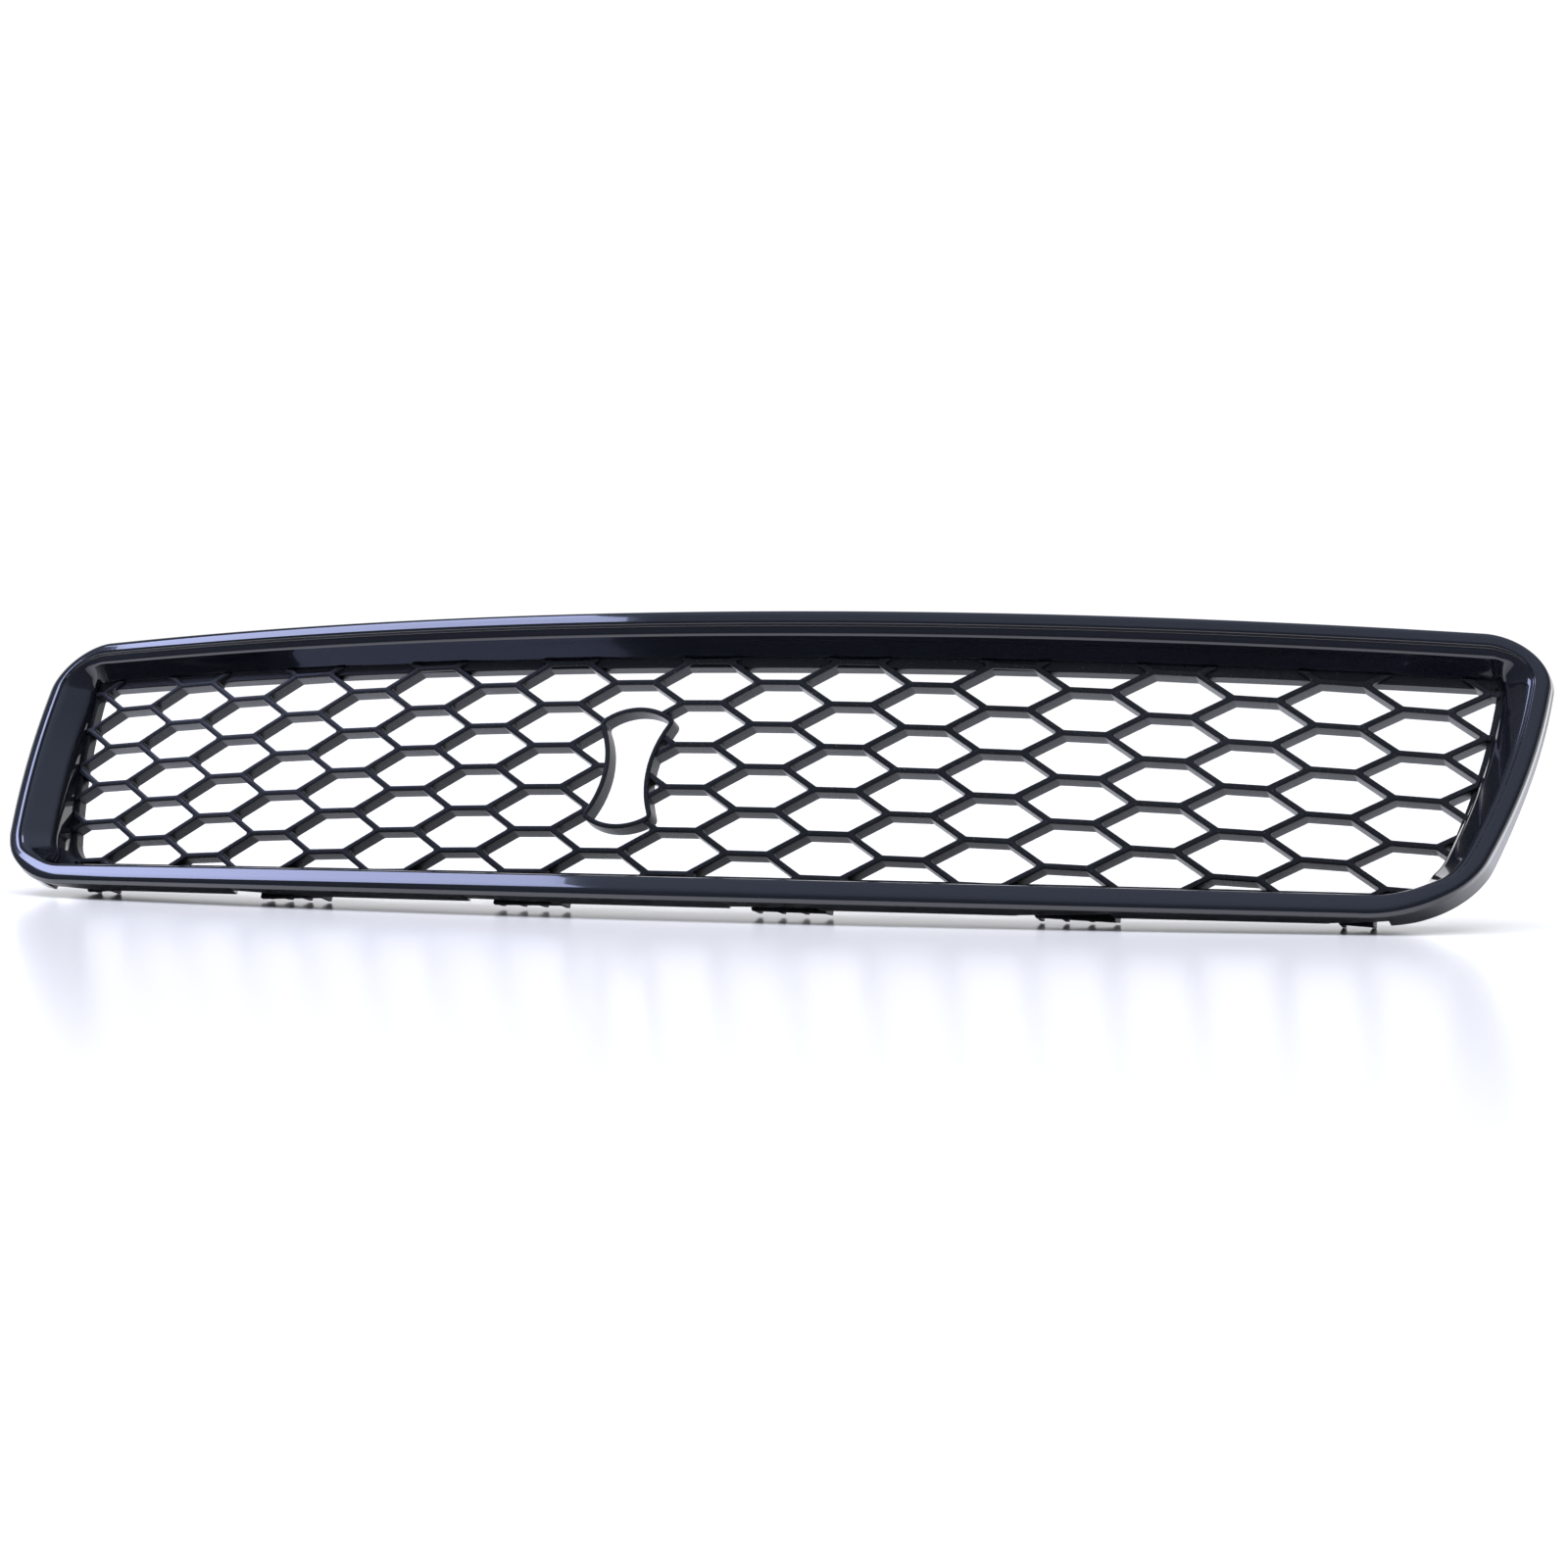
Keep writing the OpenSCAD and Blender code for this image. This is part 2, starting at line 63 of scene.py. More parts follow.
# Inset at which the recess wall meets the insert, with what the top takes off
WALL_IN, WALL_IN_TOP = 22.3, 1.8
# Back of the recess wall: inset and depth where it starts, inset and depth where it ends
WALL_BACK_IN, WALL_BACK_D, WALL_END_IN, WALL_END_D = 10.4, 7.0, 18.1, -4.8
# The flared wall at the ends turns down at this depth, less with height, and never past the limit
FLARE_D, FLARE_FALL, FLARE_LIMIT = 19.0, 0.1, 14.5
# Lugs and hooks: thickness of web and barbs, step up from barb to web, front and depth of a barb
WEB_T, BARB_T, WEB_RISE, WEB_FRONT, BARB_DEEP = 2.4, 2.0, 2.4, -9.0, 10.7
LUG_BARBS, LUG_PITCH, HOOK_BARBS, HOOK_PITCH = 4, 11.4, 2, 12.8
LUG_INNER_LIFT, LUG_OUTER_LIFT, HOOK_LIFT = 1.3, 0.6, 0.0
EDGE_SOFT = 0.3
# The insert is part of a cone whose point lies high above it
CONE_HALF = math.atan(PLAN_TAPER)
APEX_Z = PLAN_R / PLAN_TAPER
APEX_Y = APEX_Z * math.tan(MESH_LEAN)
TILT = CONE_HALF - MESH_LEAN
CONE_FACTOR = math.sin(TILT) ** 2 - math.cos(CONE_HALF) ** 2


def lerp(a, b, t):
    return a + (b - a) * t


def smooth(t):
    t = min(max(t, 0.0), 1.0)
    return t * t * (3 - 2 * t)


def seat(x, y, z):
    """A point of the grille's own space, leaned back and set on its lugs, in metres."""
    c, s = math.cos(LEAN), math.sin(LEAN)
    return Vector((x, c * y + s * z + STAND_Y, -s * y + c * z + STAND_Z)) / 1000


def mesh_y(x, z):
    """Depth of the insert's middle surface, a part of a tilted cone."""
    h = z - APEX_Z
    spread = math.sqrt((h * math.sin(CONE_HALF)) ** 2 + CONE_FACTOR * x * x)
    reach = h * math.sin(TILT) * math.cos(TILT) + math.cos(CONE_HALF) * spread
    return APEX_Y + reach / CONE_FACTOR


def rim_y(x, z):
    """Depth of the surround's front face."""
    return mesh_y(x, z) + math.tan(RIM_LEAN) * z - z * z / (2 * RIM_CROWN_R) - RIM_RISE


def bow(x, z):
    """Bends the straight outline upward and inward into the real one."""
    share = (z + BOTTOM_H) / (TOP_H + BOTTOM_H)
    rise = x * x * lerp(BOTTOM_BOW, TOP_BOW, share)
    return (x + END_SLOPE * rise * x / HALF_W) * (1 - END_BOW * (z + rise) ** 2), z + rise


def inset_point(s, inset):
    return bow(s[0] - inset * math.cos(s[2]), s[1] - inset * math.sin(s[2]))


def clear_inset(a):
    """Inset of the insert's clear opening for an outline direction."""
    return CLEAR_IN - CLEAR_IN_TOP * math.sin(a) - CLEAR_IN_END * abs(math.cos(a))


def wall_inset(a):
    """Inset at which the recess wall meets the insert."""
    return WALL_IN - WALL_IN_TOP * max(math.sin(a), 0)


def corner(x, z, r, a):
    return (x + r * math.cos(a), z + r * math.sin(a), a)


def linspace(a, b, n):
    return [lerp(a, b, i / n) for i in range(n)]


def half_outline(n_top, n_arc, n_side, n_bottom, cuts=False):
    """Stations of the right half, from top middle to bottom middle: x, z, outward normal."""
    lean = -END_LEAN
    up, down = math.pi / 2, -math.pi / 2
    top_c, bottom_c = (TOP_X, TOP_H - TOP_R, TOP_R), (BOTTOM_X, BOTTOM_R - BOTTOM_H, BOTTOM_R)
    start, end = corner(*top_c, lean), corner(*bottom_c, lean)
    low_arc = linspace(lean, down, n_arc)
    low_x = linspace(BOTTOM_X, 0, n_bottom)
    if cuts:
        # The bent outline passes each edge; its station is found by stepping towards it
        for c, w in CUTOUTS:
            for edge in (c - w / 2, c + w / 2):
                for e in (edge - CUT_STEP, edge + CUT_STEP):
                    x = e
                    for _ in range(30):
                        x -= bow(x, -BOTTOM_H)[0] - e
                    if x < BOTTOM_X:
                        low_x.append(x)
                    else:
                        a = math.radians(-85)
                        for _ in range(40):
                            p = inset_point(corner(*bottom_c, a), 0)
                            a -= (p[0] - e) / (BOTTOM_R * -math.sin(a))
                        low_arc.append(a)
        low_x.sort(reverse=True)
        low_arc.sort(reverse=True)
    out = [(x, TOP_H, up) for x in linspace(0, TOP_X, n_top)]
    out += [corner(*top_c, a) for a in linspace(up, lean, n_arc)]
    out += [tuple(lerp(p, q, t) for p, q in zip(start, end))
            for t in linspace(0, 1, n_side)]
    out += [corner(*bottom_c, a) for a in low_arc]
    out += [(x, -BOTTOM_H, down) for x in low_x]
    return out + [(0, -BOTTOM_H, down)]


def ring(half):
    return half + [(-s[0], s[1], math.pi - s[2]) for s in reversed(half[1:-1])]


def bottom_edge(x):
    """Height of the lower outline."""
    z = bow(x, -BOTTOM_H)[1]
    if abs(x) > BOTTOM_X:
        z += BOTTOM_R - math.sqrt(BOTTOM_R ** 2 - (abs(x) - BOTTOM_X) ** 2)
    return z


# ---- Materials ----

def node_material(name, base, rough, coat=0.0, coat_rough=0.03, spec=0.5, metallic=0.0,
                  vary=0.3, vary_scale=9.0, rough_vary=0.05, bump_scale=0.0, bump=0.0,
                  peel_scale=0.0, peel=0.0, edge=0.0, dust=0.0):
    """A moulded or painted surface: uneven colour, uneven gloss, fine grain, and rubbed edges."""
    m = bpy.data.materials.new(name)
    m.use_nodes = True
    nt = m.node_tree
    n, l = nt.nodes, nt.links
    b = n["Principled BSDF"]
    b.inputs["Metallic"].default_value = metallic
    b.inputs["Coat Weight"].default_value = coat
    b.inputs["Coat Roughness"].default_value = coat_rough
    b.inputs["Specular IOR Level"].default_value = spec
    where = n.new("ShaderNodeTexCoord").outputs["Object"]

    def noise(scale, detail, roughness=0.5):
        t = n.new("ShaderNodeTexNoise")
        t.inputs["Scale"].default_value = scale
        t.inputs["Detail"].default_value = detail
        t.inputs["Roughness"].default_value = roughness
        l.new(where, t.inputs["Vector"])
        return t.outputs["Fac"]

    def remap(source, lo, hi, to_lo, to_hi):
        t = n.new("ShaderNodeMapRange")
        for key, value in (("From Min", lo), ("From Max", hi),
                           ("To Min", to_lo), ("To Max", to_hi)):
            t.inputs[key].default_value = value
        l.new(source, t.inputs["Value"])
        return t.outputs["Result"]

    def mix(fac, a, c):
        t = n.new("ShaderNodeMix")
        t.data_type = "RGBA"
        l.new(fac, t.inputs["Factor"])
        for socket, value in ((t.inputs["A"], a), (t.inputs["B"], c)):
            if hasattr(value, "links"):
                l.new(value, socket)
            else:
                socket.default_value = (*value, 1)
        return t.outputs["Result"]

    light = [min(1.0, c * (1 + vary)) for c in base]
    dark = [c * (1 - vary) for c in base]
    colour = mix(remap(noise(vary_scale, 4.0), 0.3, 0.7, 0, 1), dark, light)
    if edge:
        rubbed = remap(n.new("ShaderNodeNewGeometry").outputs["Pointiness"], 0.52, 0.6, 0, edge)
        colour = mix(rubbed, colour, [min(1.0, c * 2.2 + 0.01) for c in base])
    if dust:
        specks = remap(noise(1400.0, 0.0), 0.74, 0.78, 0, dust)
        colour = mix(specks, colour, (0.3, 0.3, 0.32))
    l.new(colour, b.inputs["Base Color"])
    l.new(remap(noise(vary_scale * 2.3, 5.0, 0.6), 0.3, 0.7, max(0.02, rough - rough_vary),
                rough + rough_vary), b.inputs["Roughness"])
    normal = None
    for scale, strength, distance in ((peel_scale, peel, 0.0006), (bump_scale, bump, 0.0002)):
        if scale and strength:
            t = n.new("ShaderNodeBump")
            t.inputs["Strength"].default_value = strength
            t.inputs["Distance"].default_value = distance
            l.new(noise(scale, 2.0), t.inputs["Height"])
            if normal:
                l.new(normal, t.inputs["Normal"])
            normal = t.outputs["Normal"]
    if normal:
        l.new(normal, b.inputs["Normal"])
    return m


GLOSS = node_material("gloss_black_paint", (0.006, 0.007, 0.011), 0.09, coat=1.0, coat_rough=0.02,
                      vary=0.25, vary_scale=5.0, rough_vary=0.02, peel_scale=90.0, peel=0.015,
                      dust=0.012)
INSERT = node_material("insert_black_plastic", (0.010, 0.011, 0.014), 0.3, rough_vary=0.06,
                       spec=0.3, bump_scale=1500.0, bump=0.05, edge=0.25, dust=0.15)
FIXING = node_material("fixing_black_plastic", (0.014, 0.014, 0.016), 0.42, rough_vary=0.08,
                       bump_scale=1800.0, bump=0.12, edge=0.4, dust=0.3)
STAKE = node_material("melted_black_plastic", (0.016, 0.016, 0.018), 0.5, vary=0.4, vary_scale=60.0,
                      rough_vary=0.12, bump_scale=700.0, bump=0.3)
STEEL = node_material("zinc_plated_steel", (0.55, 0.55, 0.56), 0.3, metallic=1.0, vary=0.15,
                      vary_scale=120.0, rough_vary=0.1, bump_scale=2500.0, bump=0.1)
FOAM = node_material("seal_foam", (0.022, 0.022, 0.023), 0.9, spec=0.2, vary=0.4, vary_scale=80.0,
                     bump_scale=1200.0, bump=0.9)


# ---- Building helpers ----

def add_mesh(name, verts, faces, material):
    mesh = bpy.data.meshes.new(name)
    mesh.from_pydata([tuple(v) for v in verts], [], faces)
    mesh.materials.append(material)
    mesh.polygons.foreach_set("use_smooth", [True] * len(mesh.polygons))
    obj = bpy.data.objects.new(name, mesh)
    bpy.context.scene.collection.objects.link(obj)
    return obj


def apply_modifiers(obj):
    dg = bpy.context.evaluated_depsgraph_get()
    dg.update()
    mesh = bpy.data.meshes.new_from_object(obj.evaluated_get(dg))
    old = obj.data
    obj.modifiers.clear()
    obj.data = mesh
    bpy.data.meshes.remove(old)


def weighted(obj, angle):
    """Smooth shading across bevels, with flat faces kept flat."""
    obj.data.polygons.foreach_set("use_smooth", [True] * len(obj.data.polygons))
    obj.data.set_sharp_from_angle(angle=math.radians(angle))
    m = obj.modifiers.new("weighted", "WEIGHTED_NORMAL")
    m.keep_sharp = True
    m.weight = 80
    apply_modifiers(obj)


def tube_faces(rings, width):
    """Four-sided faces between closed rings of points, the last ring joined to the first."""
    for i in range(rings):
        for j in range(width):
            a, b = i * width + j, i * width + (j + 1) % width
            c, d = ((i + 1) % rings) * width + (j + 1) % width, ((i + 1) % rings) * width + j
            yield a, b, c, d


# Share of a straight stretch that one rounded corner may use up
FREE = 0.47
# Length of the steps that measure the direction of a swept surface
PROBE = 0.02


def rounded_section(points, place, bends=4):
    """Rounds each corner of a closed section. A point is (inset, share, depth, radius);
    gives (parameters, direction along the section) for every point of the rounded one."""
    out = []
    count = len(points)
    for i in range(count):
        before, here, after = points[i - 1], points[i], points[(i + 1) % count]
        p, c, q = (Vector(v[:3]) for v in (before, here, after))
        at = place(c)
        to_p, to_q = (place(p) - at).length, (place(q) - at).length
        wanted = here[3] if isinstance(here[3], tuple) else (here[3], here[3])
        r_p, r_q = min(wanted[0], FREE * to_p), min(wanted[1], FREE * to_q)
        a, b = c.lerp(p, r_p / to_p), c.lerp(q, r_q / to_q)
        for k in range(bends + 1):
            t = k / bends
            out.append((a.lerp(c, t).lerp(c.lerp(b, t), t), (c - a).lerp(b - c, t)))
    return out


def swept(name, stations, section, material, bends=4):
    """Closed sweep of a section around the outline, with exact normals."""
    verts, normals = [], []
    for s in stations:
        def place(p, s=s):
            x, z = inset_point(s, p[0])
            return Vector((x, lerp(rim_y(x, z), mesh_y(x, z), p[1]) + p[2], z))
        ahead = (s[0] - PROBE * math.sin(s[2]), s[1] + PROBE * math.cos(s[2]), s[2])
        row = rounded_section(section(s), place, bends)
        for p, d in row:
            here = place(p)
            along = place(p + d.normalized() * PROBE) - here
            across = place(p, ahead) - here
            verts.append(seat(*here))
            normals.append((seat(*(here + across.cross(along).normalized())) - seat(*here)) * 1000)
    faces = [(a, d, c, b) for a, b, c, d in tube_faces(len(stations), len(row))]
    obj = add_mesh(name, verts, faces, material)
    obj.data.update()
    # Turn the exact normals the same way as the faces
    agree = 0.0
    for poly in obj.data.polygons:
        agree += poly.normal.dot(normals[poly.vertices[0]])
    if agree < 0:
        normals = [-v for v in normals]
    obj.data.normals_split_custom_set_from_vertices([tuple(v.normalized()) for v in normals])
    return obj


# ---- Surround ----

def low_share(z):
    """0 down to the middle of the grille, rising to 1 at its bottom."""
    return (min(z, 0) / BOTTOM_H) ** 2


def return_d(z, a):
    """Depth of the return wall behind the rim's front face."""
    return 8 - 0.07 * z + 0.0004 * z * z + (2 + 3 * low_share(z)) * abs(math.cos(a))


def return_depth(s):
    """The same depth, less where the skirt is cut out."""
    x, z = inset_point(s, 0)
    depth = return_d(z, s[2])
    if s[2] < -0.3 or s[2] > math.pi + 0.3:
        for c, w in CUTOUTS:
            if abs(abs(x) - c) < w / 2:
                edge_z = bottom_edge(c)
                back = rim_y(c, edge_z) + return_d(edge_z, -math.pi / 2) - CUT_D
                depth = min(depth, back - rim_y(x, z))
    return depth


def surround_section(s):
    """The surround's section at a station, from the back of the return wall, over the rim
    and down the recess wall, then back behind them."""
    z = inset_point(s, 0)[1]
    side = abs(math.cos(s[2]))
    back = 0.3 + 2.1 * low_share(z) * (1 - side) - (1 + 1.5 * low_share(z)) * side
    deep = return_depth(s)
    # Along the bottom the step melts into one wide face
    low = smooth((-math.sin(s[2]) - 0.55) / 0.4)
    wall_in = wall_inset(s[2])
    # At the ends the ledge is narrow and the wall flares before it turns down to the insert
    end = smooth((side - 0.35) / 0.45) * (1 - low)
    turn_d = min(FLARE_LIMIT, FLARE_D - FLARE_FALL * z)
    turn = [lerp(a, b, end)
            for a, b in zip((lerp(12.8, wall_in, 0.5), 0.5, 1.05), (21.2, 0, turn_d))]
    behind = [lerp(a, b, end) for a, b in zip((14.25, 0.5, 1.1), (17.6, 0, turn_d))]

    def blend(plain, at_end, at_bottom):
        return lerp(lerp(plain, at_end, end), at_bottom, low)

    return [
        (back, 0, deep, 0.5),
        (0, 0, lerp(5.0, 3.0, low), 0.6),
        (lerp(0.05, 2.2, low), 0, 0, (5.0, lerp(4.4, 5.5, low))),
        (blend(8.0, 7.2, 11.6), 0, lerp(0, 0.25, low), 1.7),
        (blend(8.5, 7.7, 12.1), 0, blend(2.3, 1.5, 1.2), 0.5),
        (blend(12.6, 9.8, 12.6), 0, blend(3.0, 2.3, 2.0), 1.8),
        (*turn, 3.5),
        (wall_in, 1, -2.5, 0.6),
        (15.5, 1, -2.5, 0.4),
        (15.5, 1, WALL_END_D, 0.4),
        (WALL_END_IN, 1, WALL_END_D, 0.6),
        (*behind, 1.0),
        (WALL_BACK_IN, 0, WALL_BACK_D, 1.6),
        (9.4, 0, 3.9, 0.8),
        (2.8, 0, 3.4, 0.8),
        (back + WALL, 0, deep, 0.5)]


def build_surround():
    stations = ring(half_outline(70, 34, 14, 60, cuts=True))
    obj = swept("surround", stations, surround_section, GLOSS)
    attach(obj, "root")
    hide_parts("bezel")


# ---- Honeycomb insert ----

def hexagon(cx, cz):
    h, tip = CELL_H / 2, CELL_W - BAR_HALF
    return [(cx + BAR_HALF, cz + h), (cx + tip, cz), (cx + BAR_HALF, cz - h),
            (cx - BAR_HALF, cz - h), (cx - tip, cz), (cx - BAR_HALF, cz + h)]


def shrunk(points, inset, radius, bends):
    """A convex outline moved inward with rounded corners; a group of points for each corner."""
    groups = []
    n = len(points)
    for i in range(n):
        a, c, b = (Vector(points[k % n]) for k in (i - 1, i, i + 1))
        u, v = (a - c).normalized(), (b - c).normalized()
        half = u.angle(v) / 2
        bisector = (u + v).normalized()
        centre = c + bisector * ((inset + radius) / math.sin(half))
        # Normals of the two edges, pointing out of the cell
        start = centre - (c + u * u.dot(centre - c))
        end = centre - (c + v * v.dot(centre - c))
        a0 = math.atan2(-start.y, -start.x)
        a1 = math.atan2(-end.y, -end.x)
        turn = (a1 - a0 + math.pi) % (2 * math.pi) - math.pi
        groups.append([(centre.x + radius * math.cos(a0 + turn * k / bends),
                        centre.y + radius * math.sin(a0 + turn * k / bends))
                       for k in range(bends + 1)])
    return groups


def build_cells():
    bends = 4
    half_d = RIB_D / 2
    cell_r = 0.9
    columns, rows_of_half_cells = 11, 8
    # Rib section: distance from the rib's middle line, depth
    section = [(0.75, -half_d), (1.12, -half_d + 0.07), (1.36, -half_d + 0.27),
               (1.5, -half_d + 0.7), (1.46, half_d - 0.35), (1.3, half_d - 0.1), (1.0, half_d)]
    verts, faces, seen, sides = [], [], {}, {}

    def vert(x, z, d):
        key = (round(x, 3), round(z, 3), round(d, 3))
        if key not in seen:
            seen[key] = len(verts)
            verts.append((x, z, d))
        return seen[key]

    for k in range(-columns, columns + 1):
        for j in range(-rows_of_half_cells, rows_of_half_cells + 1):
            if (k + j) % 2:
                continue
            outer = hexagon(k * CELL_W, j * CELL_H / 2)
            front = [vert(*p, -half_d) for p in outer]
            back = [vert(*p, half_d) for p in outer]
            rows = []
            for u, d in section:
                rows.append([[vert(*p, d) for p in g]
                             for g in shrunk(outer, u, cell_r + RIB_W / 2 - u, bends)])
            for i in range(6):
                m = (i + 1) % 6
                for hex_row, row, flip in ((front, rows[0], False), (back, rows[-1], True)):
                    quad = (hex_row[i], hex_row[m], row[m][0], row[i][bends])
                    faces.append(quad[::-1] if flip else quad)
                    for q in range(bends):
                        tri = (hex_row[i], row[i][q + 1], row[i][q])
                        faces.append(tri[::-1] if flip else tri)
                key = frozenset((front[i], front[m]))
                sides.setdefault(key, []).append((front[i], back[i], back[m], front[m]))
            for a, b in zip(rows, rows[1:]):
                flat_a = [v for g in a for v in g]
                flat_b = [v for g in b for v in g]
                total = len(flat_a)
                for q in range(total):
                    faces.append((flat_a[q], flat_a[(q + 1) % total],
                                  flat_b[(q + 1) % total], flat_b[q]))
    for group in sides.values():
        if len(group) == 1:
            faces.append(group[0])
    placed = [Vector((x, mesh_y(x, z) + d, z)) for x, z, d in verts]
    obj = add_mesh("insert_cells", placed, faces, INSERT)
    face_outward(obj)
    limits = ring(half_outline(24, 12, 4, 20))
    outline = [inset_point(s, wall_inset(s[2]) + 0.6) for s in limits]
    cut(obj, prism("insert_limit", outline), "INTERSECT")
    cut(obj, prism("insert_gap", collar_loop(-0.1)), "DIFFERENCE")
    for v in obj.data.vertices:
        v.co = seat(*v.co)
    behind = swept("insert_behind", limits, relief_section, INSERT, 1)
    face_outward(behind)
    cut(obj, behind, "DIFFERENCE")
    weighted(obj, 32)
    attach(obj, "root")
    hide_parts("mesh_insert")


def relief_section(s):
    """The space behind the insert's flange, where the ribs end at the flange's inner edge."""
    back = FLANGE_FRONT + FLANGE_T - 0.2
    edge = clear_inset(s[2]) - EDGE_W + 0.2
    return [(18, 1, back, 0.1), (edge, 1, back, 0.1), (edge, 1, 12, 0.1), (18, 1, 12, 0.1)]


def face_outward(obj):
    bm = bmesh.new()
    bm.from_mesh(obj.data)
    bmesh.ops.recalc_face_normals(bm, faces=bm.faces)
    bm.to_mesh(obj.data)
    bm.free()


def prism(name, outline, front=-90, back=130):
    """A cutting tool: an x,z outline that runs right through the insert."""
    n = len(outline)
    verts = [(x, front, z) for x, z in outline] + [(x, back, z) for x, z in outline]
    faces = [tuple(range(n)), tuple(range(2 * n - 1, n - 1, -1))]
    faces += [(i, n + i, n + (i + 1) % n, (i + 1) % n) for i in range(n)]
    obj = add_mesh(name, verts, faces, INSERT)
    face_outward(obj)
    return obj


def cut(obj, tool, operation):
    m = obj.modifiers.new("cut", "BOOLEAN")
    m.operation = operation
    m.solver = "MANIFOLD"
    m.object = tool
    apply_modifiers(obj)
    mesh = tool.data
    bpy.data.objects.remove(tool)
    bpy.data.meshes.remove(mesh)


def border_section(s):
    """The insert's flange behind the recess wall, with an upright edge around the opening."""
    half_d = RIB_D / 2
    clear = clear_inset(s[2])
    return [(FLANGE_OUT, 1, FLANGE_FRONT, 0.4), (clear, 1, FLANGE_FRONT, 0.6),
            (clear, 1, half_d, 0.4), (clear - EDGE_W, 1, half_d, 0.4),
            (clear - EDGE_W, 1, FLANGE_FRONT + FLANGE_T, 0.5),
            (FLANGE_OUT, 1, FLANGE_FRONT + FLANGE_T, 0.4)]


def build_border():
    stations = ring(half_outline(50, 24, 10, 46))
    obj = swept("insert_border", stations, border_section, INSERT, 3)
    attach(obj, "root")
    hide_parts("mesh_insert")


# ---- Badge collar ----

BADGE_X, BADGE_Z, BADGE_W, BADGE_H, COLLAR_T = -31.8, -1.5, 39.0, 66.6, 2.6


def collar_loop(inset):
    """The hourglass outline, found ray by ray from its middle, with its sharp corners eased."""
    count, steps = 540, 200
    # Radii of the crowns and of the hollow sides; half width of the waist and how low it lies
    crown, left, right, waist, drop = 30.3, 47.0, 53.0, 12.6, 2.0
    circles_out = (((-waist - left, -drop), left + inset),
                   ((waist + right, -drop), right + inset))
    circles_in = (((0, BADGE_H / 2 - crown), crown - inset),
                  ((0, crown - BADGE_H / 2), crown - inset))
    points = []
    for i in range(count):
        a = 2 * math.pi * i / count
        dx, dz = math.cos(a), math.sin(a)
        reach = (BADGE_W / 2 - inset) / max(abs(dx), 1e-9)
        for (cx, cz), r in circles_in:
            if cz * dz > 0:
                b = dx * cx + dz * cz
                reach = min(reach, b + math.sqrt(b * b - cx * cx - cz * cz + r * r))
        for (cx, cz), r in circles_out:
            b = dx * cx + dz * cz
            disc = b * b - cx * cx - cz * cz + r * r
            if disc > 0 and b > 0:
                reach = min(reach, b - math.sqrt(disc))
        points.append(Vector((dx * reach, dz * reach)))

    def span(i):
        return points[(i + 1) % count] - points[i % count]

    total = sum((points[i] - points[i - 1]).length for i in range(count))
    # Even spacing, then a few passes of averaging to ease the corners
    even, walked, i = [], 0.0, 0
    for k in range(steps):
        target = total * k / steps
        while walked + span(i).length < target:
            walked += span(i).length
            i += 1
        even.append(points[i % count] + span(i).normalized() * (target - walked))
    for _ in range(3):
        even = [even[k - 1] * 0.25 + even[k] * 0.5 + even[(k + 1) % steps] * 0.25
                for k in range(steps)]
    return [(p.x + BADGE_X, p.y + BADGE_Z) for p in even]


def build_collar():
    half_d = RIB_D / 2
    middle = [Vector(p) for p in collar_loop(COLLAR_T / 2)]
    n = len(middle)
    # Collar section: distance from the wall's middle line, depth
    side = [(-1.3, half_d - 0.3), (-1.3, -half_d - 0.1), (-1.18, -half_d - 0.42),
            (-0.9, -half_d - 0.68), (-0.5, -half_d - 0.78)]
    section = side + [(-u, d) for u, d in reversed(side)] + [(1.05, half_d), (-1.05, half_d)]
    verts = []
    for i, p in enumerate(middle):
        t = (middle[(i + 1) % n] - middle[i - 1]).normalized()
        out = Vector((t.y, -t.x))
        for u, d in section:
            q = p + out * u
            verts.append(seat(q.x, mesh_y(q.x, q.y) + d, q.y))
    obj = add_mesh("collar_ring", verts, list(tube_faces(n, len(section))), INSERT)
    face_outward(obj)
    weighted(obj, 50)
    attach(obj, "root")
    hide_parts("badge_collar")


# ---- Lower lugs ----

def bevelled(bm, outline, x0, x1, slope=0.0):
    """Adds a bar: a y,z outline between x0 and x1, with softened edges."""
    part = bmesh.new()
    lo = [part.verts.new((x0, y, z)) for y, z in outline]
    hi = [part.verts.new((x1, y + slope * (x1 - x0), z)) for y, z in outline]
    n = len(outline)
    part.faces.new(lo)
    part.faces.new(hi[::-1])
    for i in range(n):
        part.faces.new((lo[i], hi[i], hi[(i + 1) % n], lo[(i + 1) % n]))
    bmesh.ops.recalc_face_normals(part, faces=part.faces)
    bmesh.ops.bevel(part, geom=list(part.edges), offset=EDGE_SOFT, segments=3, profile=0.6,
                    affect="EDGES", clamp_overlap=True)
    mesh = bpy.data.meshes.new("part")
    part.to_mesh(mesh)
    part.free()
    bm.from_mesh(mesh)
    bpy.data.meshes.remove(mesh)


def wall_under(x, depth):
    """Height of the lower recess wall's underside, at a depth from the insert."""
    low, high = bottom_edge(x) + WALL_BACK_IN, bottom_edge(x) + WALL_END_IN
    low_d = rim_y(x, low) + WALL_BACK_D - mesh_y(x, low)
    return lerp(low, high, (depth - low_d) / (WALL_END_D - low_d)) - 0.1


def floor_z(y):
    """Height of the floor in the grille's own space."""
    return (y * math.sin(LEAN) - STAND_Z) / math.cos(LEAN)


